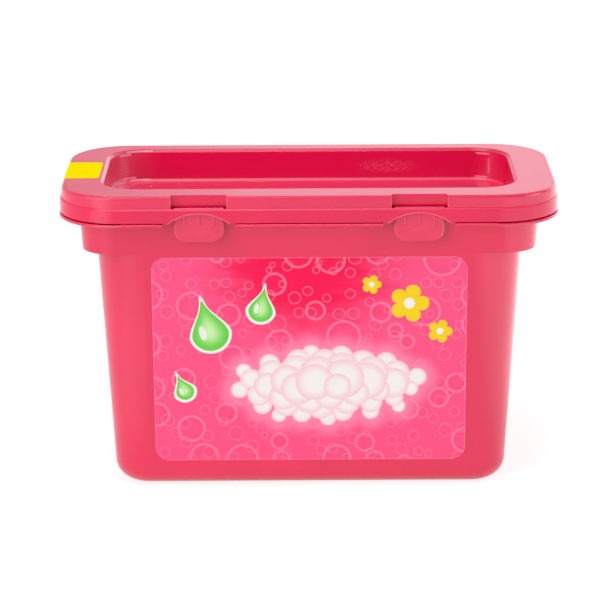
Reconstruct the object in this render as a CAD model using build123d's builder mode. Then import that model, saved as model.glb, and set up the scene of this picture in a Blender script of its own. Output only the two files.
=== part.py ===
"""Laundry pod tub: a drafted tub with a hinged lid, two press tabs, a front label and a rim sticker.

Millimetres. The origin is the middle of the base, +Z is up and the front faces -Y.
"""

import os
from math import cos, radians, sqrt, tan

from build123d import *

# Tub body, from the base up to the ledge under the band
base_width = 179.8
base_depth = 73.4
base_corner = 16.0
base_round = 9.5
foot_chamfer = 5.8
body_height = 112.9
body_draft = 3.3
wall = 1.6
mouth_chamfer = 0.4

# Band above the ledge, which stands out at the sides and is flush at the front and the back
side_step = 6.2
band_corner = 15.5
band_height = 14.45

# Flange that closes the gap below the lid, with a raised strip along the front
flange_side = 9.55
flange_front = 7.95
flange_corner = 28.0
flange_thickness = 1.35
flange_end_chamfer = 0.9
flange_chamfer = 0.4
strip_rise = 0.25
strip_length = 168.0
strip_width = 2.4
strip_chamfer = 0.2

# Lid skirt: a lower band and a narrower upper band
lid_wall = 1.5
lid_edge_inset = 0.45
skirt_gap = 0.55
lower_band_height = 6.6
upper_band_height = 5.55
band_ledge = 0.85
ledge_chamfer = 0.5
skirt_chamfer = 0.3
lid_edge_round = 1.5
seat_gap = 0.3

# Well in the top of the lid, which takes the base of a tub stacked on it
rim_side = 18.5
rim_front = 15.65
rim_back = 10.1
well_corner = 16.0
well_depth = 15.0
well_draft = 3.0
well_edge_chamfer = 1.3
well_floor_chamfer = 1.0

# Press tabs, which hang from shelves on the tub behind the lid's skirt
latch_x = 49.0
tab_width = 22.2
tab_height = 15.9
tab_thickness = 1.5
tab_corner = 5.8
tab_chamfer = 0.7
tab_face_gap = 0.9
tab_root_gap = 0.3
shelf_thickness = 1.2
rib_pitch = 6.55
rib_width = 0.9
rib_height = 7.4
rib_rise = 0.35
flange_gap_side = 5.0

# Notch, arch and flared brow of the lid at each tab
notch_side_gap = 1.25
notch_depth = 3.55
notch_wall = 1.2
notch_drop = 0.1
notch_foot_gap = 0.3
arch_chord = 27.0
arch_rise = 4.4
brow_width = 30.7
brow_flare = 0.4

# Rear hinge: pins between ears on the flange, clip knuckles on the lid
hinge_x = 60.0
pin_radius = 1.5
pin_clearance = 0.08
knuckle_radius = 2.7
knuckle_width = 14.0
ear_thickness = 2.5
arm_height = 4.0
hinge_gap = 0.45
hinge_rise = 2.6
clip_mouth = 2.5

# Front label and rim sticker
label_side = 2.9
label_foot = 13.2
label_head = 1.5
label_corner = 6.0
label_thickness = 0.15
sticker_length = 30.4
sticker_margin = 1.0
sticker_wrap = 75.0
sticker_corner = 2.0
sticker_thickness = 0.15

# Heights of the stack
ledge_z = body_height
flange_z = ledge_z + band_height
flange_top = flange_z + flange_thickness
skirt_z = flange_top + skirt_gap
step_z = skirt_z + lower_band_height
lid_top = step_z + upper_band_height
rim_z = lid_top - lid_wall - seat_gap
well_floor = lid_top - well_depth
tab_top = step_z - notch_drop


def spread(height, draft):
    """How far a drafted wall has moved outwards at a height."""
    return height * tan(radians(draft))


def body_outline(height, inset=0.0):
    """Height, width, depth and corner of the tub's body."""
    grow = spread(height, body_draft) - inset
    return height, base_width + 2 * grow, base_depth + 2 * grow, base_corner + grow


def band_outline(height, inset=0.0):
    """Height, width, depth and corner of the band, whose front carries on from the body's."""
    grow = spread(height - ledge_z, body_draft) - inset
    _, width, depth, _ = body_outline(height, inset)
    return height, width + 2 * side_step, depth, band_corner + grow


def flange_size(inset=0.0):
    """Width, depth and corner of the flange, or of an outline set in from its edge."""
    _, width, depth, _ = band_outline(flange_z)
    return width + 2 * (flange_side - inset), depth + 2 * (flange_front - inset), flange_corner - inset


lower_size = flange_size(lid_edge_inset)
upper_size = flange_size(lid_edge_inset + band_ledge)
lower_inner = flange_size(lid_edge_inset + lid_wall)
upper_inner = flange_size(lid_edge_inset + band_ledge + lid_wall)

skirt_y = lower_size[1] / 2
tab_face_y = lower_inner[1] / 2 - tab_face_gap
tab_back_y = tab_face_y - tab_thickness
notch_width = tab_width + 2 * notch_side_gap
notch_y = upper_size[1] / 2 - notch_depth
hinge_y = skirt_y + knuckle_radius + hinge_gap
hinge_z = flange_top + knuckle_radius + hinge_gap + hinge_rise
flange_edge_y = flange_size()[1] / 2
inner_y = band_outline(flange_z, wall)[2] / 2
well_y = (rim_front - rim_back) / 2


def rounded_outline(height, width, depth, corner):
    """Sketch of a rounded rectangle at a height."""
    with BuildSketch(Plane.XY.offset(height)) as outline:
        RectangleRounded(width, depth, corner)
    return outline.sketch


def drafted_block(outline, top, draft, mode=Mode.ADD):
    """Block on an outline of height, width, depth and corner, whose walls lean out by the draft."""
    extrude(rounded_outline(*outline), amount=top - outline[0], taper=-draft, mode=mode)


def rounded_plate(size, bottom, top, mode=Mode.ADD):
    """Upright block on a rounded rectangle of width, depth and corner."""
    extrude(rounded_outline(bottom, *size), amount=top - bottom, mode=mode)


def cut_tab_gaps(sheet):
    """Cuts a gap at each tab out of a sketch of the flange and bevels the front ends that it leaves."""
    gap_y = -(flange_edge_y + inner_y) / 2
    with Locations((-latch_x, gap_y), (latch_x, gap_y)):
        Rectangle(tab_width + 2 * flange_gap_side, flange_edge_y - inner_y, mode=Mode.SUBTRACT)
    chamfer(sheet.vertices().group_by(Axis.Y)[0].sort_by(Axis.X)[1:-1], flange_end_chamfer)


def block(x_span, y_span, z_span, mode=Mode.ADD):
    """Box between two values on each axis."""
    spans = (x_span, y_span, z_span)
    middle = tuple((low + high) / 2 for low, high in spans)
    with Locations(middle):
        Box(*(abs(high - low) for low, high in spans), mode=mode)


def around(centre, width):
    """Span of a width centred on a value."""
    return centre - width / 2, centre + width / 2


# Space inside the tub's body, with its foot bevelled inside the base's rounding
with BuildPart() as body_space:
    drafted_block(body_outline(wall, wall), ledge_z + wall, body_draft)
    chamfer(body_space.faces().sort_by(Axis.Z)[0].edges(), foot_chamfer)

# Tub: flange with a gap at each tab, then band and body hollowed by the same outlines set in by the wall
with BuildPart() as tub:
    with BuildSketch(Plane.XY.offset(flange_z)) as flange_sheet:
        RectangleRounded(*flange_size())
        cut_tab_gaps(flange_sheet)
    extrude(amount=flange_thickness)
    chamfer(tub.faces().sort_by(Axis.Z)[-1].edges(), flange_chamfer)
    chamfer(tub.faces().sort_by(Axis.Z)[0].edges(), flange_chamfer)
    with BuildSketch(Plane.XY.offset(flange_z + flange_chamfer)) as strip_sheet:
        with Locations((0, strip_width / 2 - flange_edge_y)):
            Rectangle(strip_length, strip_width)
        cut_tab_gaps(strip_sheet)
    extrude(amount=flange_thickness - flange_chamfer + strip_rise)
    chamfer(tub.faces().group_by(Axis.Z)[-1].edges(), strip_chamfer)
    drafted_block(band_outline(ledge_z), rim_z, body_draft)
    drafted_block(body_outline(0), ledge_z, body_draft)
    fillet(tub.faces().sort_by(Axis.Z)[0].edges(), base_round)
    add(body_space.part, mode=Mode.SUBTRACT)
    drafted_block(band_outline(ledge_z + wall, wall), rim_z, body_draft, Mode.SUBTRACT)
    chamfer(tub.faces().sort_by(Axis.Z)[-1].edges(), mouth_chamfer)
    for side in (-1, 1):
        shelf_y = band_outline(tab_top)[2] / 2 - wall / 2
        shelf_span = (-tab_back_y + tab_root_gap, -shelf_y)
        block(around(side * latch_x, tab_width), shelf_span, (tab_top - shelf_thickness, tab_top))
    for side in (-1, 1):
        ear_gap = knuckle_width + 2 * hinge_gap
        hinge_span = around(side * hinge_x, ear_gap + 2 * ear_thickness)
        block(hinge_span, (inner_y + wall / 2, hinge_y + knuckle_radius), (flange_z, flange_top))
        for ear_start in (hinge_span[0], hinge_span[1] - ear_thickness):
            with BuildSketch(Plane.YZ.offset(ear_start)):
                with Locations((hinge_y, hinge_z)):
                    Circle(knuckle_radius)
                with Locations((hinge_y, (hinge_z + flange_z) / 2)):
                    Rectangle(2 * knuckle_radius, hinge_z - flange_z)
            extrude(amount=ear_thickness)
        with BuildSketch(Plane.YZ.offset(hinge_span[0] + ear_thickness / 2)):
            with Locations((hinge_y, hinge_z)):
                Circle(pin_radius)
        extrude(amount=ear_gap + ear_thickness)


def well_block(skin):
    """The well's space, or with a skin the block that leaves its walls and floor."""
    inset = spread(well_depth + skin, well_draft) - skin
    width = upper_size[0] - 2 * rim_side
    depth = upper_size[1] - rim_front - rim_back
    with BuildPart() as well:
        floor_outline = (well_floor - skin, width - 2 * inset, depth - 2 * inset, well_corner - inset)
        drafted_block(floor_outline, lid_top, well_draft)
        # An outline set out by the skin keeps the wall even across a 45 degree chamfer
        foot_chamfer = well_floor_chamfer + skin * (2 - sqrt(2))
        chamfer(well.faces().sort_by(Axis.Z)[0].edges(), foot_chamfer)
    return Pos(0, well_y, 0) * well.part


well_shell = well_block(lid_wall)
well_space = well_block(0)

# Lid: two-band skirt, well, notches and arches at the tabs, and clip knuckles at the back
with BuildPart() as lid:
    rounded_plate(lower_size, skirt_z, step_z)
    chamfer(lid.faces().sort_by(Axis.Z)[0].edges(), skirt_chamfer)
    chamfer(lid.faces().sort_by(Axis.Z)[-1].edges(), ledge_chamfer)
    rounded_plate(upper_size, step_z - ledge_chamfer, lid_top)
    fillet(lid.faces().sort_by(Axis.Z)[-1].edges(), lid_edge_round)
    rounded_plate(lower_inner, skirt_z, step_z - lid_wall, Mode.SUBTRACT)
    rounded_plate(upper_inner, step_z - lid_wall, lid_top - lid_wall, Mode.SUBTRACT)
    add(well_shell)
    add(well_space, mode=Mode.SUBTRACT)
    rim_face = lid.faces().filter_by(Plane.XY).sort_by(Axis.Z)[-1]
    chamfer(rim_face.inner_wires()[0].edges(), well_edge_chamfer)
    for side in (-1, 1):
        centre = side * latch_x
        with BuildSketch(Plane.YZ.offset(centre - brow_width / 2)):
            with BuildLine():
                Polyline(
                    (-skirt_y + lid_wall / 2, skirt_z),
                    (-skirt_y - brow_flare, skirt_z),
                    (-skirt_y, step_z - ledge_chamfer),
                    (-skirt_y + lid_wall / 2, step_z - ledge_chamfer),
                    close=True,
                )
            make_face()
        extrude(amount=brow_width)
        pocket_span = around(centre, notch_width + 2 * lid_wall)
        pocket_front = -upper_size[1] / 2 + lid_wall / 2
        pocket_foot = tab_top + notch_foot_gap
        block(pocket_span, (pocket_front, -notch_y + notch_wall), (pocket_foot, lid_top - lid_wall))
        notch_span = around(centre, notch_width)
        block(notch_span, (-skirt_y, -notch_y), (step_z, lid_top), Mode.SUBTRACT)
        block(notch_span, (-lower_inner[1] / 2, -notch_y), (step_z - lid_wall, step_z), Mode.SUBTRACT)
        with BuildSketch(Plane.XZ.offset(skirt_y - lid_wall)):
            with BuildLine():
                arch_foot = arch_chord / 2
                ThreePointArc(
                    (centre - arch_foot, skirt_z),
                    (centre, skirt_z + arch_rise),
                    (centre + arch_foot, skirt_z),
                )
                Line((centre - arch_foot, skirt_z), (centre + arch_foot, skirt_z))
            make_face()
        extrude(amount=lid_wall + brow_flare, mode=Mode.SUBTRACT)
    for side in (-1, 1):
        with BuildSketch(Plane.YZ.offset(side * hinge_x - knuckle_width / 2)):
            with Locations((hinge_y, hinge_z)):
                Circle(knuckle_radius)
            arm_y = (lower_inner[1] + upper_size[1]) / 4
            with Locations(((arm_y + hinge_y) / 2, hinge_z + knuckle_radius - arm_height / 2)):
                Rectangle(hinge_y - arm_y, arm_height)
            with Locations((hinge_y, hinge_z)):
                Circle(pin_radius + pin_clearance, mode=Mode.SUBTRACT)
            with Locations((hinge_y, hinge_z - knuckle_radius / 2)):
                Rectangle(clip_mouth, knuckle_radius, mode=Mode.SUBTRACT)
        extrude(amount=knuckle_width)


def press_tab(centre):
    """One press tab: a round-cornered tongue with three ribs that run down from its root."""
    with BuildPart() as tab:
        tab_foot = tab_top - tab_height
        with BuildSketch(Plane.XZ.offset(tab_back_y)) as tongue:
            with Locations((centre, (tab_top + tab_foot) / 2)):
                Rectangle(tab_width, tab_height)
            fillet(tongue.vertices().group_by(Axis.Y)[0], tab_corner)
        extrude(amount=tab_thickness)
        chamfer(tab.faces().sort_by(Axis.Y)[0].edges(), tab_chamfer)
        with BuildSketch(Plane.XZ.offset(tab_face_y - tab_thickness / 2)):
            with Locations((centre, tab_top - tab_chamfer - rib_height / 2)):
                with GridLocations(rib_pitch, 0, 3, 1):
                    Rectangle(rib_width, rib_height)
        extrude(amount=tab_thickness / 2 + rib_rise)
    return tab.part


tab_left = press_tab(-latch_x)
tab_right = press_tab(latch_x)

# Front label: a film flat on the drafted front wall, below the height of the ledge
label_z = (label_foot + body_height - label_head) / 2
label_width = base_width - 2 * base_corner - 2 * label_side
label_height = (body_height - label_head - label_foot) / cos(radians(body_draft))
wall_point = (0, -body_outline(label_z)[2] / 2, label_z)
front_wall = Plane(origin=wall_point, x_dir=(1, 0, 0), z_dir=(0, -1, -tan(radians(body_draft))))
with BuildPart() as label:
    with BuildSketch(front_wall):
        RectangleRounded(label_width, label_height, label_corner)
    extrude(amount=label_thickness)

# Rim sticker: a film on the left end of the lid's rim, which bends down over the rim's rounded edge
sticker_right = -upper_size[0] / 2 + rim_side - well_edge_chamfer - sticker_margin
bend_centre = (-upper_size[0] / 2 + lid_edge_round, lid_top - lid_edge_round)
with BuildPart() as sticker:
    with BuildSketch(Plane.XZ.offset(-sticker_length / 2)):
        with BuildLine():
            upper_bend = CenterArc(bend_centre, lid_edge_round + sticker_thickness, 90, sticker_wrap)
            lower_bend = CenterArc(bend_centre, lid_edge_round, 90, sticker_wrap)
            Line(upper_bend @ 1, lower_bend @ 1)
            Polyline(
                upper_bend @ 0,
                (sticker_right, lid_top + sticker_thickness),
                (sticker_right, lid_top),
                lower_bend @ 0,
            )
        make_face()
    extrude(amount=sticker_length)
    fillet(sticker.edges().filter_by(Axis.Z).sort_by(Axis.X)[-2:], sticker_corner)

nodes = {
    "tub": tub.part,
    "lid": lid.part,
    "press_tab_left": tab_left,
    "press_tab_right": tab_right,
    "front_label": label.part,
    "rim_sticker": sticker.part,
}
os.makedirs("parts", exist_ok=True)
for name, piece in nodes.items():
    piece.label = name
    export_step(piece, f"parts/{name}.step")
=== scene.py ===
"""Looks of a laundry pod tub: moulded plastic, a printed label film, a rim sticker and a plain studio.

Laid out as a Blender add-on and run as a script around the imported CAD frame. Metres, +Z up, front towards -Y.
"""

from math import cos, pi, radians, sin

import bpy
from bpy.props import FloatProperty, FloatVectorProperty, IntProperty, PointerProperty
from mathutils import Matrix, Vector


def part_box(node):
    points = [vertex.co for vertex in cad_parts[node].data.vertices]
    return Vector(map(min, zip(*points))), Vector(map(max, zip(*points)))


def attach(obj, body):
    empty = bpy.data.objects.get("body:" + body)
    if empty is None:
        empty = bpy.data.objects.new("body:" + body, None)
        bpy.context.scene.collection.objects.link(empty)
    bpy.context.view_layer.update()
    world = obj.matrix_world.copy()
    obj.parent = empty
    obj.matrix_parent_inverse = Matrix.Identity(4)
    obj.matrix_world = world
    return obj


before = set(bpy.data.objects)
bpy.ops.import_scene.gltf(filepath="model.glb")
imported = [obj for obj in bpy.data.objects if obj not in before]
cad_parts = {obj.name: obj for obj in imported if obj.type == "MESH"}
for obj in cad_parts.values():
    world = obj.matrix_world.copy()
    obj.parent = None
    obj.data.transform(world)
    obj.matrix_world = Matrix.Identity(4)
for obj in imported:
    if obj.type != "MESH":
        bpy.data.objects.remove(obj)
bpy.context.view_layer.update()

bl_info = {
    "name": "Laundry pod tub looks",
    "version": (1, 0, 0),
    "blender": (4, 5, 0),
    "location": "3D View > Sidebar > Pod tub",
    "description": "Plastic finishes, label print, grip dots and studio of a laundry pod tub",
    "category": "Object",
}

MM = 0.001
LABEL_LOW, LABEL_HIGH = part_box("front_label")
LABEL_CENTRE = (LABEL_LOW + LABEL_HIGH) / 2
FLOOR_THICKNESS = 1.5 * MM
LID_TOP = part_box("lid")[1].z
WELL_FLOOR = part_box("lid")[0].z + FLOOR_THICKNESS
TAB_SIDES = ("left", "right")

# Rectangle inside the round corners of the well's outline. Distances out from it tell the well from the skirt.
WELL_HALF_X = 77.25 * MM
WELL_MIDDLE_Y = 2.78 * MM
WELL_HALF_Y = 21.88 * MM
WELL_REACH = 18 * MM
SKIRT_REACH = (28.6 * MM, 31 * MM)
BACK_WALL = (20 * MM, 25 * MM)
UPPER_BAND = 138.2 * MM
UPPER_BAND_HALF = 2.2 * MM

# At the well's left end, along X from full to none: painted highlight on the floor's streaks, dust, painted sheen
# and pale marks at the foot of its wall; and the height that these pale marks reach
STREAK_HIGHLIGHT_END = (-86 * MM, -62 * MM)
DUSTY_END = (-75 * MM, -45 * MM)
SHEEN_END = (-94 * MM, -68 * MM)
PALE_FOOT_END = (-88.5 * MM, -85.5 * MM)
PALE_FOOT_TOP = (128.1 * MM, 129.1 * MM)

# Smear on the well's back wall: middle and half sizes along X and in height
SMEAR_PLACE = (37.4 * MM, 133 * MM)
SMEAR_HALF = (17.5 * MM, 4 * MM)

# Painted highlights, as strokes on the well's back wall and in its corners, in millimetres: middle and half length
# along X,
# middle and half width in height, strength
CORNER_HIGHLIGHTS = (
    (82.5, 3.0, 139.0, 0.35, 1.0),
    (81.8, 2.8, 127.9, 0.3, 1.0),
    (85.3, 0.3, 133.5, 3.5, 0.5),
    (-86.6, 2.4, 139.5, 0.5, 1.0),
    (-80.0, 6.0, 140.6, 0.3, 0.7),
    (-85.0, 3.0, 128.2, 0.5, 1.0),
    (-79.8, 4.7, 127.1, 0.3, 1.0),
)

# The print, in millimetres across and up from the label's middle
PRINT_SOFT = 0.2
BALL_SOFT = 0.25
GLOW_CENTRE = (-2.0, 46.0)
GLOW_REACH = (54.0, 42.0)
SUDS_CENTRE = (8.0, -13.0)
SUDS_REACH = (43.0, 17.0)
GOLDEN_TURN = pi * (3 - 5 ** 0.5)
GOLDEN_SHARE = 0.618

# Printed drops: place across and up, share of the largest radius, lean in degrees
DROPS = (
    (-45.0, 13.0, 1.0, 14),
    (-22.0, 24.0, 0.66, -10),
    (-57.0, -15.0, 0.5, 24),
)

# Printed flowers: place across and up, share of the largest radius
FLOWERS = (
    (45.0, 27.0, 1.0),
    (59.0, 13.5, 0.62),
    (28.0, 36.0, 0.5),
)

# Soft boxes: name, property of the studio that holds the power, place, width and height
STAGE_MIDDLE = (0.0, 0.0, 0.07)
SOFT_BOXES = (
    ("key_box", "key", (-1.15, -1.15, 0.75), (1.6, 1.4)),
    ("side_box", "side", (1.2, -0.3, 0.5), (0.7, 0.7)),
    ("top_box", "top", (-0.25, -0.25, 1.1), (0.6, 0.6)),
    ("back_panel", "back", (0.75, 1.4, 0.6), (2.0, 1.0)),
)

# Floor, in metres: half its size, its white, and the pools of light on it with the distances of their core and rim.
# The pool at the right is a half plane, so its distances are places along X.
FLOOR_HALF = 4.0
FLOOR_WHITE = 0.86
RIGHT_POOL = (0.10, 0.24)
LEFT_POOL_PLACE, LEFT_POOL = (-0.19, -0.16), (0.06, 0.14)
LEFT_POOL_SHARE = 0.6
GLINT_PLACE, GLINT_POOL = (-0.42, -0.48), (0.08, 0.26)


def screen(red, green, blue):
    """A colour given as 0 to 255 on screen, as Blender's linear values."""

    def linear(value):
        part = value / 255
        return part / 12.92 if part <= 0.04045 else ((part + 0.055) / 1.055) ** 2.4

    return linear(red), linear(green), linear(blue)


def colour(name, description, default):
    """Property for a colour."""
    return FloatVectorProperty(
        name=name, description=description, subtype="COLOR", size=3, min=0, max=1, default=default
    )


def length(name, description, default):
    """Property for a length, in metres."""
    return FloatProperty(name=name, description=description, unit="LENGTH", precision=5, default=default)


def share(name, description, default):
    """Property for a share from 0 to 1."""
    return FloatProperty(name=name, description=description, subtype="FACTOR", min=0, max=1, default=default)


def angle(name, description, degrees):
    """Property for an angle, given in degrees."""
    return FloatProperty(name=name, description=description, subtype="ANGLE", default=radians(degrees))


def level(name, description, default):
    """Property for a strength of light."""
    return FloatProperty(name=name, description=description, min=0, default=default)


class Field:
    """A socket in an expression: arithmetic on it adds Math nodes to its sheet."""

    def __init__(self, sheet, socket):
        self.sheet = sheet
        self.socket = socket

    def __add__(self, other):
        return self.sheet.maths("ADD", self, other)

    def __radd__(self, other):
        return self.sheet.maths("ADD", other, self)

    def __sub__(self, other):
        return self.sheet.maths("SUBTRACT", self, other)

    def __rsub__(self, other):
        return self.sheet.maths("SUBTRACT", other, self)

    def __mul__(self, other):
        return self.sheet.maths("MULTIPLY", self, other)

    def __rmul__(self, other):
        return self.sheet.maths("MULTIPLY", other, self)

    def __truediv__(self, other):
        return self.sheet.maths("DIVIDE", self, other)

    def __abs__(self):
        return self.sheet.maths("ABSOLUTE", self)

    def least(self, other):
        return self.sheet.maths("MINIMUM", self, other)

    def most(self, other):
        return self.sheet.maths("MAXIMUM", self, other)

    def cosine(self):
        return self.sheet.maths("COSINE", self)

    def root(self):
        return self.sheet.maths("SQRT", self)

    def ramp(self, low, high):
        """0 up to low, 1 from high on and smooth between them."""
        settings = {"interpolation_type": "SMOOTHSTEP"}
        return self.sheet.add("ShaderNodeMapRange", settings, {"Value": self, 1: low, 2: high})

    def inside(self, soft):
        """1 where a distance is below zero, with an edge that is soft to each side."""
        return 1 - self.ramp(-soft, soft)

    def near(self, middle, half, soft):
        """1 within half of a middle, with soft ends."""
        return (abs(self - middle) - half).inside(soft)

    def output(self, name):
        """Another output of the node that this socket belongs to."""
        return Field(self.sheet, self.socket.node.outputs[name])


class Sheet:
    """A node tree that is filled in node by node."""

    def __init__(self, tree):
        self.tree = tree
        tree.nodes.clear()

    def add(self, kind, settings=None, sockets=None, output=0):
        """Adds a node, sets it up, feeds its sockets and gives one of its outputs."""
        node = self.tree.nodes.new(kind)
        for name, value in (settings or {}).items():
            setattr(node, name, value)
        for key, value in (sockets or {}).items():
            if isinstance(value, Field):
                self.tree.links.new(value.socket, node.inputs[key])
            else:
                node.inputs[key].default_value = value
        return Field(self, node.outputs[output]) if len(node.outputs) else None

    def maths(self, operation, *values):
        return self.add("ShaderNodeMath", {"operation": operation}, dict(enumerate(values)))

    def distance(self, across, up):
        return (across * across + up * up).root()

    def rounded(self, across, half_across, up, half_up):
        """Distance out from a rectangle of two half sizes: its level lines are round at the corners."""
        return self.distance((abs(across) - half_across).most(0.0), (abs(up) - half_up).most(0.0))

    def place(self):
        """Object coordinates, in metres."""
        return self.add("ShaderNodeTexCoord", output="Object")

    def split(self, vector):
        """The three numbers of a vector."""
        first = self.add("ShaderNodeSeparateXYZ", {}, {0: vector})
        return first, first.output("Y"), first.output("Z")

    def noise(self, vector, scale, detail):
        return self.add("ShaderNodeTexNoise", {}, {"Vector": vector, "Scale": scale, "Detail": detail})

    def stretched(self, vector, scale):
        """A vector with each axis scaled by itself."""
        return self.add("ShaderNodeMapping", {}, {"Vector": vector, "Scale": scale})

    def mix(self, base, top, factor):
        """Lays one colour over another."""
        sockets = {0: factor, 6: self.paint(base), 7: self.paint(top)}
        return self.add("ShaderNodeMix", {"data_type": "RGBA"}, sockets, 2)

    def paint(self, value):
        """A colour as a socket takes it."""
        return value if isinstance(value, Field) else (*value, 1.0)

    def bump(self, height, depth):
        sockets = {"Height": height, "Distance": depth, "Strength": 1.0}
        return self.add("ShaderNodeBump", {}, sockets, "Normal")

    def surface(self, sockets):
        """Ends a material in one plastic or film shader."""
        shader = self.add("ShaderNodeBsdfPrincipled", {}, sockets)
        self.add("ShaderNodeOutputMaterial", {}, {"Surface": shader})


def new_material(name):
    """A material and the sheet of its nodes."""
    material = bpy.data.materials.new(name)
    material.use_nodes = True
    return material, Sheet(material.node_tree)


def cad_node(name):
    """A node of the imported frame."""
    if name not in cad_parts:
        raise RuntimeError(f"the frame has no node {name}")
    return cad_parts[name]


def dress(name, material):
    """Gives a node of the frame its material."""
    materials = cad_node(name).data.materials
    materials.clear()
    materials.append(material)


class PlasticLook(bpy.types.PropertyGroup):
    """Moulded plastic of the tub and the lid."""

    tub_colour: colour("Tub colour", "Plastic of the tub and its press tabs", screen(237, 24, 81))
    lid_colour: colour("Lid colour", "Plastic of the lid", screen(234, 13, 78))
    # The rim's matte plastic, its red darker than the lid's as painted shade of its matte texture
    rim_shaded_colour: colour("Rim colour", "Matte plastic of the top of the lid's rim", screen(215, 40, 90))
    # Painted shade: the well's walls darker than the lid's plastic; painted light: the well's floor brighter
    well_shade_colour: colour("Well colour", "Plastic of the well's walls", screen(216, 9, 74))
    well_floor_light_colour: colour("Well floor colour", "Plastic of the well's floor", screen(247, 23, 92))
    # Pale colour of scuffs and dust, also laid as painted highlights and painted sheen
    scuff_and_highlight_colour: colour("Frost colour", "Pale bloom of scuffed plastic", screen(250, 205, 228))
    tub_roughness: share("Tub roughness", "Satin finish of the tub", 0.22)
    lid_roughness: share("Lid roughness", "Polished finish of the lid's skirt and well", 0.2)
    rim_roughness: share("Rim roughness", "Matte finish of the top of the lid's rim", 0.42)
    # Strength of the scuffs and dust in the well, and of the painted highlight on the floor's streaks at its left
    # end
    scuff_and_streak_highlight: share("Scuff frost", "Pale bloom of the scuffs in the well", 0.13)
    # Strength of the painted highlights in the well's corners; the pale marks at the foot of its left end take 0.7
    # of it
    corner_highlight: share("Rub frost", "Pale bloom of the rubbed strokes in the well's corners", 0.65)
    # Strength of the painted highlight on the edges of the arches and notches over the press tabs
    edge_highlight: share("Edge frost", "Pale line on the edges of the arches and notches over the press tabs", 0.15)
    # Strength of the painted sheen on the lid's upper band
    band_sheen: share("Band frost", "Pale bloom of the lid's upper band", 0.035)
    # How much paler the tabs' faces are; the painted highlight along their edges takes twice this
    tab_paling: share("Tab frost", "Pale bloom of the press tabs", 0.02)
    # Painted highlight along the ribs of the press tabs, and painted shadow beside them
    rib_highlight: share("Rib light", "Pale line along the ribs of the press tabs", 0.05)
    rib_shadow: share("Rib line", "Darker line beside the ribs of the press tabs", 0.4)
    tub_gloss: share("Tub gloss", "Specular level of the tub", 0.7)
    lid_gloss: share("Lid gloss", "Specular level of the lid", 0.55)
    grain_size: length("Grain size", "Spacing of the fine moulded grain", 0.0005)
    grain_depth: length("Grain depth", "Depth of the fine moulded grain", 0.00001)
    arch_radius: length("Arch radius", "Radius of the arches over the press tabs", 0.02291)
    arch_rise: length("Arch rise", "Height of the arches over the press tabs", 0.0044)
    notch_width: length("Notch width", "Width of the notches over the press tabs", 0.0247)
    tab_corner: length("Tab corner", "Radius of the corners of the press tabs", 0.0058)
    rib_pitch: length("Rib pitch", "Spacing of the three ribs of a press tab", 0.00655)
    rib_length: length("Rib length", "How far the ribs run down from the top of a press tab", 0.008)
    flow_size: length("Flow size", "Size of the soft clouds of colour in the plastic", 0.045)


class LabelPrint(bpy.types.PropertyGroup):
    """Print of the front label."""

    field: colour("Field", "Pink of the label's field", screen(255, 86, 137))
    glow: colour("Glow", "Deeper pink at the head of the label", screen(252, 14, 82))
    bubble: colour("Bubble", "Light pink of the printed bubbles", screen(255, 150, 186))
    shade: colour("Shade", "Darker pink of the bubbles' inner edge", screen(248, 58, 112))
    suds: colour("Suds", "White of the printed suds", screen(246, 244, 240))
    drop: colour("Drop", "Green of the printed drops", screen(108, 214, 72))
    drop_light: colour("Drop light", "Pale green in the middle of the drops", screen(204, 246, 176))
    flower: colour("Flower", "Yellow of the printed flowers", screen(250, 214, 24))
    edge: colour("Edge", "Bare edge of the film", screen(255, 178, 200))
    bubble_spacing: length("Bubble spacing", "Spacing of the large bubbles", 0.021)
    bead_spacing: length("Bead spacing", "Spacing of the small bubbles", 0.0095)
    suds_radius: length("Suds radius", "Radius of the largest ball of the suds", 0.0105)
    suds_count: IntProperty(name="Suds count", description="Balls in the suds", default=44, min=2)
    drop_radius: length("Drop radius", "Radius of the largest drop", 0.0085)
    flower_radius: length("Flower radius", "Radius of the largest flower", 0.009)
    roughness: share("Roughness", "Finish of the film", 0.3)
    gloss: share("Gloss", "Specular level of the film", 0.2)


class StickerLook(bpy.types.PropertyGroup):
    """Sticker on the lid's rim."""

    paper: colour("Paper", "Yellow of the sticker", screen(252, 229, 0))
    glow: level("Glow", "Fluorescence of the sticker's yellow", 0.05)
    roughness: share("Roughness", "Finish of the sticker", 0.55)


class GripDots(bpy.types.PropertyGroup):
    """Raised dots on the press tabs."""

    columns: IntProperty(name="Columns", description="Dots across a tab", default=7, min=1)
    rows: IntProperty(name="Rows", description="Dots down a tab", default=2, min=1)
    pitch: length("Pitch", "Spacing of the dots", 0.0016)
    radius: length("Radius", "Radius of a dot", 0.0005)
    rise: length("Rise", "Height of a dot above the tab", 0.00008)
    sink: length("Sink", "How far a dot's foot lies inside the tab", 0.00002)
    foot_gap: length("Foot gap", "From the tab's foot to the middle of the dots", 0.0058)


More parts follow.
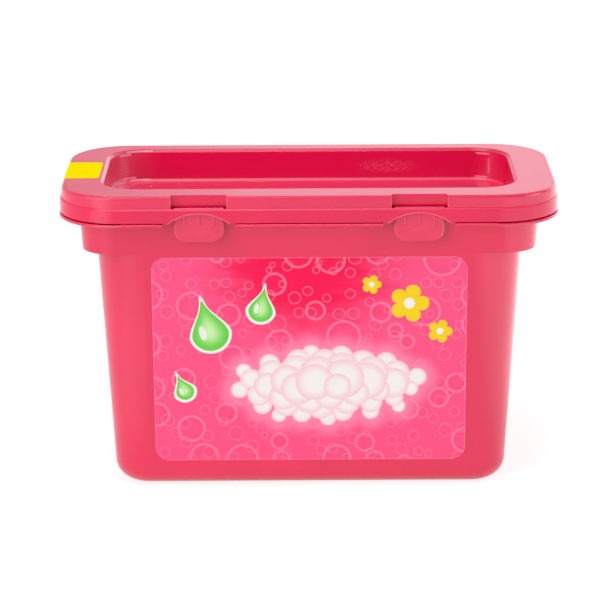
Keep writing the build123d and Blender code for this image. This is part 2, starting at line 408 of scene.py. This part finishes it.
class Studio(bpy.types.PropertyGroup):
    """Camera and light."""

    camera_place: FloatVectorProperty(
        name="Camera place", description="Where the camera stands", subtype="XYZ", unit="LENGTH",
        default=(-0.00171, -1.21868, 0.43896),
    )
    camera_drop: angle("Camera drop", "How far the camera looks down", 16.47)
    camera_turn: angle("Camera turn", "Turn of the camera to the left", 0.125)
    camera_roll: angle("Camera roll", "Roll of the camera", -0.35)
    lens: FloatProperty(name="Lens", description="Focal length on a 36 mm sensor", subtype="DISTANCE_CAMERA",
                        default=163.4)
    room: level("Room", "Light from the white room all round", 0.38)
    key: level("Key", "Power of the soft box at the front left", 17.5)
    side: level("Side", "Power of the soft box at the right", 5.0)
    top: level("Top", "Power of the soft box above", 2.8)
    back: level("Back", "Power of the panel behind the tub on the right", 9.0)
    floor_shade: share("Floor shade", "Share of the floor's own light and shade that the camera sees", 0.35)
    floor_lift: level("Floor lift", "White that the camera sees added to the floor", 0.78)
    floor_pool: level("Floor pool", "White of the pools of light on the floor at the right and the front left", 1.5)
    floor_glint: level("Floor glint", "White of the pool that glints in the lid's left corner", 2.4)


class Moulding:
    """Plastic with soft clouds of colour and a fine moulded grain."""

    def __init__(self, name, base, roughness, look):
        self.look = look
        self.material, self.sheet = new_material(name)
        self.place = self.sheet.place()
        self.x, self.y, self.height = self.sheet.split(self.place)
        flow = self.sheet.noise(self.place, scale=1 / look.flow_size, detail=3.0)
        self.grain = self.sheet.noise(self.place, scale=1 / look.grain_size, detail=1.0)
        darkest, flow_finish, grain_finish = 0.92, 0.07, 0.06
        deeper = tuple(darkest * value for value in base)
        self.tint = self.sheet.mix(base, deeper, flow.ramp(0.35, 0.75))
        self.roughness = roughness + flow_finish * (flow - 0.5) + grain_finish * (self.grain - 0.5)

    def cover(self, mask, top, strength=1.0, rougher=0.0):
        """Lays another colour where the mask is, which can be rougher too."""
        self.tint = self.sheet.mix(self.tint, top, strength * mask)
        if rougher:
            self.roughness = self.roughness + rougher * mask

    def pale_scuff_and_highlight(self, mask, strength, rougher=0.0):
        """Lays pale colour where the mask is: scuffs and dust, painted highlights and sheen, and the paler faces of
        the tabs.
        """
        self.cover(mask, self.look.scuff_and_highlight_colour, strength, rougher)

    def finish(self, gloss):
        """Ends the material and gives it."""
        normal = self.sheet.bump(self.grain, self.look.grain_depth)
        shine = {"Roughness": self.roughness, "Specular IOR Level": gloss, "Normal": normal}
        self.sheet.surface({"Base Color": self.tint, **shine})
        return self.material


class TubPlastic(Moulding):
    """Satin plastic of the tub and its press tabs, with painted highlights and shadows on the tabs' edges and ribs.
    """

    def __init__(self, look):
        super().__init__("tub_plastic", look.tub_colour, look.tub_roughness, look)

    def press_tab(self, low, high):
        """Pales the face of a tab, paints a highlight along its edge and paints a highlight and a shadow along each
        of its ribs.
        """
        look = self.look
        middle, half = (low + high) / 2, (high - low) / 2
        soft, line_soft = 0.1 * MM, 0.15 * MM
        face = self.x.near(middle.x, half.x, soft) * self.height.near(middle.z, half.z, soft)
        face = face * (1 - self.y.ramp(high.y - 2 * soft, high.y))
        self.pale_scuff_and_highlight(face, look.tab_paling)
        # Painted highlight along the edge of the tab's face
        self.pale_scuff_and_highlight(face * self.tab_edge(middle, half, line_soft), 2 * look.tab_paling)
        rib_foot = high.z - look.rib_length
        ribbed = face * self.height.ramp(rib_foot - 2 * soft, rib_foot + 2 * soft)
        highlight_half, shadow_half, shadow_gap, shadow_darkness = 0.25 * MM, 0.15 * MM, 0.6 * MM, 0.5
        deeper = tuple(shadow_darkness * value for value in look.tub_colour)
        # Painted highlight on each rib and painted shadow beside it, in darkened tub colour
        for rib in (-1, 0, 1):
            across = self.x - (middle.x + rib * look.rib_pitch)
            self.pale_scuff_and_highlight(ribbed * across.near(0.0, highlight_half, line_soft), look.rib_highlight)
            self.cover(ribbed * across.near(shadow_gap, shadow_half, line_soft), deeper, look.rib_shadow)

    def tab_edge(self, middle, half, soft):
        """1 along the edge of a tab's face."""
        corner = self.look.tab_corner
        inset, line_half = 0.4 * MM, 0.35 * MM
        across, up = self.x - middle.x, self.height - middle.z
        out = self.sheet.rounded(across, half.x - corner, up, half.z - corner)
        return out.near(corner - inset, line_half, soft)


class LidPlastic(Moulding):
    """Polished plastic of the lid: a matte rim, painted highlights and sheen, and scuffs, dust and painted light and
    shade in its well.
    """

    def __init__(self, look):
        super().__init__("lid_plastic", look.lid_colour, look.lid_roughness, look)
        soft = 0.3 * MM
        self.rim = self.height.ramp(LID_TOP - soft, LID_TOP - 0.05 * MM)
        self.outline = self.sheet.rounded(self.x, WELL_HALF_X, self.y - WELL_MIDDLE_Y, WELL_HALF_Y)
        above_floor = self.height.ramp(WELL_FLOOR - soft, WELL_FLOOR)
        self.well = above_floor * (1 - self.rim) * (self.outline - WELL_REACH).inside(0.5 * MM)
        self.floor = self.height.near(WELL_FLOOR, 0.7 * MM, soft)
        self.back_wall = self.well * self.y.ramp(*BACK_WALL)
        self.fine = self.sheet.noise(self.place, scale=1300.0, detail=2.0).ramp(0.4, 0.68)

    def bands(self):
        """Makes the rim matte, with painted shade in its colour, and paints a sheen on the upper band of the skirt.
        """
        look = self.look
        # Matte rim, its colour darkened as painted shade
        self.cover(self.rim, look.rim_shaded_colour, rougher=look.rim_roughness - look.lid_roughness)
        # Painted sheen on the upper band
        upper = self.height.near(UPPER_BAND, UPPER_BAND_HALF, 0.3 * MM)
        self.pale_scuff_and_highlight(self.outline.ramp(*SKIRT_REACH) * upper, look.band_sheen)

    def paint_edge_highlights(self):
        """Paints highlights on the edges of the arches and the notches over the press tabs."""
        look = self.look
        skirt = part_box("lid")[0].y + 1 * MM
        foot = min(vertex.co.z for vertex in cad_node("lid").data.vertices if vertex.co.y < skirt)
        low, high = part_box("press_tab_right")
        across = abs(self.x) - (low.x + high.x) / 2
        beside = 0.25 * MM
        out = self.sheet.distance(across, self.height - (foot + look.arch_rise - look.arch_radius))
        arches = out.near(look.arch_radius + beside, 0.25 * MM, 0.15 * MM)
        arch_middle, arch_half = foot + 2.4 * MM, 2.6 * MM
        arches = arches * self.height.near(arch_middle, arch_half, 0.2 * MM)
        notch_foot, notch_share = LID_TOP - 5.5 * MM, 0.8
        notches = abs(across).near(look.notch_width / 2 + beside, 0.2 * MM, 0.12 * MM)
        notches = notch_share * notches * self.height.ramp(notch_foot - 0.1 * MM, notch_foot + 0.1 * MM)
        # Painted highlight along these edges
        edges = arches.most(notches) * (1 - self.y.ramp(skirt, skirt + 1 * MM))
        self.pale_scuff_and_highlight(edges, look.edge_highlight)

    def paint_well_light_and_shade(self):
        """Paints shade on the well's walls and light on its floor, with a darker and a brighter colour than the
        lid's.
        """
        self.cover(self.well, self.look.well_shade_colour)
        self.cover(self.floor, self.look.well_floor_light_colour)

    def scuff_floor(self):
        """Draws scuff streaks on the well's floor, stronger at its left end as a painted highlight, and specks of
        dust at the left.
        """
        sheet = self.sheet
        streak_scale, stronger, film = (50, 700, 700), 2.5, 0.05
        streaks = sheet.noise(sheet.stretched(self.place, streak_scale), scale=1.0, detail=3.0).ramp(0.58, 0.74)
        specks = sheet.noise(self.place, scale=450.0, detail=0.0).ramp(0.77, 0.8)
        # Painted highlight: the streaks grow stronger towards the left end
        streak_highlight = 1 - self.x.ramp(*STREAK_HIGHLIGHT_END)
        dusty = 1 - self.x.ramp(*DUSTY_END)
        marks = ((1 + stronger * streak_highlight) * streaks).most(stronger * specks * dusty)
        self.pale_scuff_and_highlight(self.floor * (film + self.look.scuff_and_streak_highlight * marks), strength=1.0, rougher=0.2)

    def sheen_and_marks_left_end(self):
        """Paints a sheen over the well's left end and lays pale marks on the foot of its wall there."""
        # Painted sheen over the left end
        self.pale_scuff_and_highlight(self.well * (1 - self.x.ramp(*SHEEN_END)), strength=0.08, rougher=0.1)
        # Pale marks on the foot of the wall at the left end
        pale_foot = self.well * (1 - self.x.ramp(*PALE_FOOT_END)) * (1 - self.height.ramp(*PALE_FOOT_TOP))
        self.pale_scuff_and_highlight(pale_foot * (0.4 + 0.6 * self.fine), strength=0.7 * self.look.corner_highlight, rougher=0.2)

    def smear_back_wall(self):
        """Draws a faint smear on the well's back wall."""
        across = (self.x - SMEAR_PLACE[0]) / SMEAR_HALF[0]
        up = (self.height - SMEAR_PLACE[1]) / SMEAR_HALF[1]
        smear = 1 - self.sheet.distance(across, up).ramp(0.4, 1.0)
        self.pale_scuff_and_highlight(self.back_wall * smear * self.fine, strength=0.75 * self.look.scuff_and_streak_highlight, rougher=0.1)

    def paint_corner_highlights(self):
        """Paints highlights as strokes in the well's back corners and one round the left corner of its floor."""
        floor_share, floor_edge, corner_x = 0.45, 12 * MM, -80 * MM
        round_corner = self.outline.near(floor_edge, 0.6 * MM, 0.5 * MM) * self.x.near(corner_x, 3.5 * MM, 4 * MM)
        highlight_strokes = floor_share * (round_corner * self.floor)
        # Painted highlights, one stroke for each row
        for along, half, up, thick, strength in CORNER_HIGHLIGHTS:
            stroke = self.x.near(along * MM, half * MM, 0.4 * MM) * self.height.near(up * MM, thick * MM, 0.2 * MM)
            highlight_strokes = highlight_strokes.most(strength * stroke)
        self.pale_scuff_and_highlight(self.back_wall * highlight_strokes * (0.55 + 0.45 * self.fine), self.look.corner_highlight, rougher=0.1)


class POD_TUB_OT_finish_tub(bpy.types.Operator):
    """Gives the tub and its press tabs their satin plastic, with painted highlights and shadows on the tabs."""

    bl_idname = "pod_tub.finish_tub"
    bl_label = "Finish the tub"

    def execute(self, context):
        look = context.scene.pod_tub_plastic
        tub = TubPlastic(look)
        for side in TAB_SIDES:
            tub.press_tab(*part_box(f"press_tab_{side}"))
        plastic = tub.finish(look.tub_gloss)
        dress("tub", plastic)
        for side in TAB_SIDES:
            dress(f"press_tab_{side}", plastic)
        return {"FINISHED"}


class POD_TUB_OT_finish_lid(bpy.types.Operator):
    """Gives the lid its polished plastic, matte on the rim, scuffed in the well, with painted light and shade on its
    edges and in its well.
    """

    bl_idname = "pod_tub.finish_lid"
    bl_label = "Finish the lid"

    def execute(self, context):
        look = context.scene.pod_tub_plastic
        lid = LidPlastic(look)
        lid.bands()
        lid.paint_edge_highlights()
        lid.paint_well_light_and_shade()
        lid.scuff_floor()
        lid.sheen_and_marks_left_end()
        lid.smear_back_wall()
        lid.paint_corner_highlights()
        dress("lid", lid.finish(look.lid_gloss))
        return {"FINISHED"}


class LabelSheet:
    """The label's print, on a sheet whose axes run across and up the label in millimetres from its middle."""

    def __init__(self, look):
        self.look = look
        self.material, self.sheet = new_material("label_film")
        self.place = self.sheet.place()
        x, _, z = self.sheet.split(self.place)
        self.across = (x - LABEL_CENTRE.x) / MM
        self.up = (z - LABEL_CENTRE.z) / MM

    def cells(self, spacing, feature, output, shift):
        """Cells scattered over the label at a spacing, as a Voronoi output."""
        flat = {0: self.across / spacing + shift, 1: self.up / spacing + shift}
        vector = self.sheet.add("ShaderNodeCombineXYZ", {}, flat)
        settings = {"voronoi_dimensions": "2D", "feature": feature}
        sockets = {"Vector": vector, "Scale": 1.0, "Randomness": 0.85}
        return self.sheet.add("ShaderNodeTexVoronoi", settings, sockets, output)

    def bubbles(self, paint, spacing, ring, shift, strength):
        """Light rings with a darker inner edge, one in each cell and as large as its chance says."""
        reach = self.cells(spacing, "F1", "Distance", shift)
        room = self.cells(spacing, "N_SPHERE_RADIUS", "Radius", shift)
        chance = self.sheet.add("ShaderNodeSeparateColor", {}, {0: reach.output("Color")})
        smallest, spread, filling = 0.16, 0.26, 0.82
        radius = (smallest + spread * chance).least(filling * room)
        gap = (reach - radius) * spacing
        hollow = gap.inside(BALL_SOFT) * gap.ramp(-0.3 * spacing, 0.0)
        paint = self.sheet.mix(paint, self.look.shade, 0.5 * strength * hollow)
        line = 1 - abs(gap).ramp(0.5 * ring, ring)
        return self.sheet.mix(paint, self.look.bubble, strength * line)

    def suds(self, paint):
        """A cloud of white suds: shaded balls on a sunflower spiral, larger towards its middle, in a soft halo."""
        count = self.look.suds_count
        largest = self.look.suds_radius / MM
        gaps = []
        for ball in reversed(range(count)):
            out = ((ball + 0.5) / count) ** 0.5
            turn = ball * GOLDEN_TURN
            chance = GOLDEN_SHARE * ball % 1.0
            radius = largest * (1 - 0.6 * out ** 2) * (0.6 + 0.4 * chance)
            across = self.across - SUDS_CENTRE[0] - SUDS_REACH[0] * out * cos(turn)
            rise = self.up - SUDS_CENTRE[1] - SUDS_REACH[1] * out * sin(turn)
            gaps.append((self.sheet.distance(across, rise) - radius, radius))
        nearest = gaps[0][0]
        for gap, _ in gaps[1:]:
            nearest = nearest.least(gap)
        halo, rounding = 0.8, 0.55
        paint = self.sheet.mix(paint, self.look.bubble, halo * (1 - nearest.ramp(-1.0, 8.0)))
        for gap, radius in gaps:
            turned_away = gap.ramp(-0.55 * radius, 0.2 * radius)
            tone = self.sheet.mix(self.look.suds, self.look.bubble, rounding * turned_away)
            paint = self.sheet.mix(paint, tone, gap.inside(BALL_SOFT))
        return paint

    def drop(self, paint, place, radius, lean):
        """A green drop with a white outline, a pale middle and a glint."""
        along = self.across - place[0]
        above = self.up - place[1]
        side = along * cos(lean) + above * sin(lean)
        height = above * cos(lean) - along * sin(lean)
        tall, outline = 1.9, 1.3
        neck = 1 - 0.8 * height.ramp(-0.2 * radius, tall * radius)
        stretched = height.least(0.0) + height.most(0.0) / tall
        gap = self.sheet.distance(side / neck, stretched) - radius
        paint = self.sheet.mix(paint, self.look.suds, (gap - outline).inside(PRINT_SOFT))
        green = self.sheet.mix(self.look.drop_light, self.look.drop, gap.ramp(-radius, -0.1 * radius))
        paint = self.sheet.mix(paint, green, gap.inside(PRINT_SOFT))
        glint = self.sheet.distance((side + 0.38 * radius) * 2.2, height - 0.1 * radius) - 0.42 * radius
        return self.sheet.mix(paint, self.look.suds, 0.85 * glint.inside(0.5))

    def flower(self, paint, place, radius):
        """A yellow flower of five petals with a white eye."""
        along = self.across - place[0]
        above = self.up - place[1]
        reach = self.sheet.distance(along, above)
        turn = self.sheet.maths("ARCTAN2", above, along)
        gap = reach - radius * (0.52 + 0.48 * abs((2.5 * turn).cosine()).root())
        paint = self.sheet.mix(paint, self.look.flower, gap.inside(PRINT_SOFT))
        return self.sheet.mix(paint, self.look.suds, (reach - 0.28 * radius).inside(PRINT_SOFT))

    def edge(self, paint):
        """The film's bare edge."""
        half = (LABEL_HIGH - LABEL_LOW) / 2 / MM
        gap = (abs(self.across) - half.x).most(abs(self.up) - half.z)
        return self.sheet.mix(paint, self.look.edge, 0.3 * gap.ramp(-0.5, -0.2))


class POD_TUB_OT_print_label(bpy.types.Operator):
    """Prints the front label: a pink field with bubbles, a cloud of suds, green drops and yellow flowers."""

    bl_idname = "pod_tub.print_label"
    bl_label = "Print the label"

    def execute(self, context):
        look = context.scene.pod_tub_label
        label = LabelSheet(look)
        sheet = label.sheet
        paint = self.field(label)
        paint = label.bubbles(paint, look.bubble_spacing / MM, ring=0.75, shift=0.0, strength=0.5)
        paint = label.bubbles(paint, look.bead_spacing / MM, ring=0.4, shift=4.3, strength=0.35)
        paint = label.suds(paint)
        for across, up, size, lean in DROPS:
            paint = label.drop(paint, (across, up), size * look.drop_radius / MM, radians(lean))
        for across, up, size in FLOWERS:
            paint = label.flower(paint, (across, up), size * look.flower_radius / MM)
        paint = label.edge(paint)
        ripple = sheet.noise(label.place, scale=45.0, detail=1.0)
        grain = sheet.noise(label.place, scale=1800.0, detail=1.0)
        finish = look.roughness + 0.05 * (grain - 0.5)
        film = {"Base Color": paint, "Roughness": finish, "Normal": sheet.bump(ripple, depth=0.6 * MM)}
        sheet.surface({**film, "Specular IOR Level": look.gloss})
        dress("front_label", label.material)
        return {"FINISHED"}

    def field(self, label):
        """The pink field, which deepens in brushed strokes towards the label's head."""
        sheet = label.sheet
        stroke_scale = (60, 60, 260)
        strokes = sheet.noise(sheet.stretched(label.place, stroke_scale), scale=1.0, detail=3.0)
        across = (label.across - GLOW_CENTRE[0]) / GLOW_REACH[0]
        up = (label.up - GLOW_CENTRE[1]) / GLOW_REACH[1]
        glow = sheet.distance(across, up) + 0.5 * (strokes - 0.5)
        return sheet.mix(label.look.field, label.look.glow, 1 - glow.ramp(0.35, 1.0))


class POD_TUB_OT_finish_sticker(bpy.types.Operator):
    """Gives the rim sticker its yellow film."""

    bl_idname = "pod_tub.finish_sticker"
    bl_label = "Finish the sticker"

    def execute(self, context):
        look = context.scene.pod_tub_sticker
        material, sheet = new_material("sticker_film")
        fibre_scale, paler, lift = (900, 300, 900), 1.02, 0.003
        fibre = sheet.noise(sheet.stretched(sheet.place(), fibre_scale), scale=1.0, detail=2.0)
        pale = tuple(min(1.0, paler * value + lift) for value in look.paper)
        tint = sheet.mix(look.paper, pale, fibre.ramp(0.3, 0.7))
        finish = look.roughness + 0.1 * (fibre - 0.5)
        film = {"Base Color": tint, "Roughness": finish, "Normal": sheet.bump(fibre, depth=0.02 * MM)}
        fluorescence = {"Emission Color": sheet.paint(look.paper), "Emission Strength": look.glow}
        sheet.surface({**film, **fluorescence, "Specular IOR Level": 0.0})
        dress("rim_sticker", material)
        return {"FINISHED"}


def grip_dot_tree(look, material):
    """Geometry nodes that set a grid of low bevelled dots on a tab's face, with named inputs for its sizes."""
    tree = bpy.data.node_groups.new("grip_dots", "GeometryNodeTree")
    sockets = {
        "Columns": ("NodeSocketInt", look.columns),
        "Rows": ("NodeSocketInt", look.rows),
        "Pitch": ("NodeSocketFloat", look.pitch),
        "Radius": ("NodeSocketFloat", look.radius),
        "Height": ("NodeSocketFloat", look.rise + look.sink),
        "Centre": ("NodeSocketVector", (0.0, 0.0, 0.0)),
    }
    for name, (kind, default) in sockets.items():
        tree.interface.new_socket(name, in_out="INPUT", socket_type=kind).default_value = default
    tree.interface.new_socket("Geometry", in_out="OUTPUT", socket_type="NodeSocketGeometry")
    sheet = Sheet(tree)
    size = sheet.add("NodeGroupInput")
    columns, rows, pitch = size, size.output("Rows"), size.output("Pitch")
    grid = {"Size X": (columns - 1) * pitch, "Size Y": (rows - 1) * pitch, "Vertices X": columns, "Vertices Y": rows}
    points = sheet.add("GeometryNodeMeshGrid", {}, grid)
    stand = {"Geometry": points, "Translation": size.output("Centre"), "Rotation": (pi / 2, 0.0, 0.0)}
    points = sheet.add("GeometryNodeTransform", {}, stand)
    radius, bevelled, sides = size.output("Radius"), 0.6, 20
    bevel = {"Radius Top": bevelled * radius, "Radius Bottom": radius, "Depth": size.output("Height"),
             "Vertices": sides}
    dot = sheet.add("GeometryNodeMeshCone", {}, bevel)
    upright = {"Points": points, "Instance": dot, "Rotation": (pi / 2, 0.0, 0.0)}
    dots = sheet.add("GeometryNodeInstanceOnPoints", {}, upright)
    dots = sheet.add("GeometryNodeRealizeInstances", {}, {0: dots})
    dots = sheet.add("GeometryNodeSetMaterial", {}, {"Geometry": dots, "Material": material})
    sheet.add("NodeGroupOutput", {}, {"Geometry": dots})
    return tree


def set_input(modifier, name, value):
    """Sets one of a geometry nodes modifier's inputs by the identifier of its socket."""
    for item in modifier.node_group.interface.items_tree:
        if item.in_out == "INPUT" and item.name == name:
            modifier[item.identifier] = value
            return
    raise RuntimeError(f"the tree has no input {name}")


def link_mesh(name, mesh):
    """A new object at the origin that shows a mesh."""
    piece = bpy.data.objects.new(name, mesh)
    bpy.context.scene.collection.objects.link(piece)
    return piece


def evaluated_mesh(piece):
    """A plain mesh of a piece with its modifiers."""
    depsgraph = bpy.context.evaluated_depsgraph_get()
    return bpy.data.meshes.new_from_object(piece.evaluated_get(depsgraph), depsgraph=depsgraph)


class POD_TUB_OT_add_grip_dots(bpy.types.Operator):
    """Sets rows of raised dots on the press tabs."""

    bl_idname = "pod_tub.add_grip_dots"
    bl_label = "Add the grip dots"

    def execute(self, context):
        look = context.scene.pod_tub_grip
        plastic = cad_node("tub").data.materials[0]
        tree = grip_dot_tree(look, plastic)
        for side in TAB_SIDES:
            tab = cad_node(f"press_tab_{side}")
            low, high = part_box(tab.name)
            front = min(vertex.co.y for vertex in tab.data.vertices if vertex.co.z < low.z + look.foot_gap)
            dots = link_mesh(f"grip_dots_{side}", bpy.data.meshes.new(f"grip_dots_{side}"))
            modifier = dots.modifiers.new("grip_dots", "NODES")
            modifier.node_group = tree
            set_input(modifier, "Centre", ((low.x + high.x) / 2, front + look.sink, low.z + look.foot_gap))
            mesh = evaluated_mesh(dots)
            mesh.materials.clear()
            mesh.materials.append(plastic)
            mesh.polygons.foreach_set("material_index", [0] * len(mesh.polygons))
            dots.modifiers.remove(modifier)
            dots.data = mesh
            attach(dots, tab.name)
        return {"FINISHED"}


def seen_directly(sheet):
    """1 for rays that come from the camera or from gloss or glass, 0 for those that light the object."""
    path = sheet.add("ShaderNodeLightPath", output="Is Camera Ray")
    return path.most(path.output("Is Glossy Ray")).most(path.output("Is Transmission Ray"))


def soft_box(name, place, aim, size, power):
    """An area lamp of a width and a height that looks at a point."""
    lamp = bpy.data.lights.new(name, "AREA")
    lamp.shape = "RECTANGLE"
    lamp.size, lamp.size_y = size
    lamp.energy = power
    piece = bpy.data.objects.new(name, lamp)
    piece.location = place
    piece.rotation_euler = (Vector(aim) - Vector(place)).to_track_quat("-Z", "Y").to_euler()
    piece.visible_camera = False
    bpy.context.scene.collection.objects.link(piece)


class POD_TUB_OT_set_stage(bpy.types.Operator):
    """Sets the floor, the white room, the soft boxes and the camera."""

    bl_idname = "pod_tub.set_stage"
    bl_label = "Set the stage"

    def execute(self, context):
        studio = context.scene.pod_tub_studio
        self.white_room(studio)
        self.floor(studio)
        for name, power, place, size in SOFT_BOXES:
            soft_box(name, place, STAGE_MIDDLE, size, getattr(studio, power))
        self.camera(studio)
        context.scene.view_settings.view_transform = "Standard"
        return {"FINISHED"}

    def white_room(self, studio):
        """A white room that is seen at full white and lights the object with less."""
        world = bpy.data.worlds.new("white_room")
        world.use_nodes = True
        sheet = Sheet(world.node_tree)
        white = (1.0, 1.0, 1.0, 1.0)
        light = sheet.add("ShaderNodeBackground", {}, {"Color": white, "Strength": studio.room})
        shown = sheet.add("ShaderNodeBackground", {}, {"Color": white, "Strength": 1.0})
        room = sheet.add("ShaderNodeMixShader", {}, {0: seen_directly(sheet), 1: light, 2: shown})
        sheet.add("ShaderNodeOutputWorld", {}, {"Surface": room})
        bpy.context.scene.world = world

    def floor(self, studio):
        """A pale floor, on which the camera and the gloss see faint shadows and pools of light."""
        half = FLOOR_HALF
        corners = [(-half, -half, 0.0), (half, -half, 0.0), (half, half, 0.0), (-half, half, 0.0)]
        mesh = bpy.data.meshes.new("floor")
        mesh.from_pydata(corners, [], [(0, 1, 2, 3)])
        material, sheet = new_material("pale_floor")
        matte = sheet.add("ShaderNodeBsdfDiffuse", {}, {"Color": sheet.paint(3 * (FLOOR_WHITE,))})
        shade = sheet.add("ShaderNodeBsdfDiffuse", {}, {"Color": sheet.paint(3 * (studio.floor_shade,))})
        lift, pool, glint = (
            sheet.add("ShaderNodeEmission", {}, {"Strength": strength})
            for strength in (studio.floor_lift, studio.floor_pool, studio.floor_glint)
        )
        x, y, _ = sheet.split(sheet.place())

        def round_pool(place, distances):
            return 1 - sheet.distance(x - place[0], y - place[1]).ramp(*distances)

        pools = x.ramp(*RIGHT_POOL).most(LEFT_POOL_SHARE * round_pool(LEFT_POOL_PLACE, LEFT_POOL))
        lit = sheet.add("ShaderNodeMixShader", {}, {0: pools, 1: lift, 2: pool})
        lit = sheet.add("ShaderNodeMixShader", {}, {0: round_pool(GLINT_PLACE, GLINT_POOL), 1: lit, 2: glint})
        lifted = sheet.add("ShaderNodeAddShader", {}, {0: shade, 1: lit})
        shown = sheet.add("ShaderNodeMixShader", {}, {0: seen_directly(sheet), 1: matte, 2: lifted})
        sheet.add("ShaderNodeOutputMaterial", {}, {"Surface": shown})
        mesh.materials.append(material)
        link_mesh("floor", mesh)

    def camera(self, studio):
        """A camera at the front that looks down on the tub."""
        data = bpy.data.cameras.new("camera")
        data.lens = studio.lens
        data.sensor_width = 36.0
        camera = bpy.data.objects.new("camera", data)
        turn = Matrix.Rotation(studio.camera_turn, 4, "Z")
        level_down = Matrix.Rotation(pi / 2 - studio.camera_drop, 4, "X")
        roll = Matrix.Rotation(studio.camera_roll, 4, "Z")
        camera.matrix_world = Matrix.Translation(studio.camera_place) @ turn @ level_down @ roll
        bpy.context.scene.collection.objects.link(camera)
        bpy.context.scene.camera = camera


class POD_TUB_PT_sidebar(bpy.types.Panel):
    """Steps that dress the tub, with their sizes and colours."""

    bl_idname = "POD_TUB_PT_sidebar"
    bl_label = "Laundry pod tub"
    bl_space_type = "VIEW_3D"
    bl_region_type = "UI"
    bl_category = "Pod tub"

    def draw(self, context):
        for step in STEPS:
            self.layout.operator(step.bl_idname)
        for name in LOOKS:
            box = self.layout.box()
            look = getattr(context.scene, name)
            for key in look.__annotations__:
                box.prop(look, key)


LOOKS = {
    "pod_tub_plastic": PlasticLook,
    "pod_tub_label": LabelPrint,
    "pod_tub_sticker": StickerLook,
    "pod_tub_grip": GripDots,
    "pod_tub_studio": Studio,
}
STEPS = (
    POD_TUB_OT_finish_tub,
    POD_TUB_OT_finish_lid,
    POD_TUB_OT_print_label,
    POD_TUB_OT_finish_sticker,
    POD_TUB_OT_add_grip_dots,
    POD_TUB_OT_set_stage,
)
CLASSES = (*LOOKS.values(), *STEPS, POD_TUB_PT_sidebar)


def register():
    for item in CLASSES:
        bpy.utils.register_class(item)
    for name, look in LOOKS.items():
        setattr(bpy.types.Scene, name, PointerProperty(type=look))


def unregister():
    for name in LOOKS:
        delattr(bpy.types.Scene, name)
    for item in reversed(CLASSES):
        bpy.utils.unregister_class(item)


def main():
    register()
    for step in STEPS:
        group, name = step.bl_idname.split(".")
        getattr(getattr(bpy.ops, group), name)()


if __name__ == "__main__":
    main()
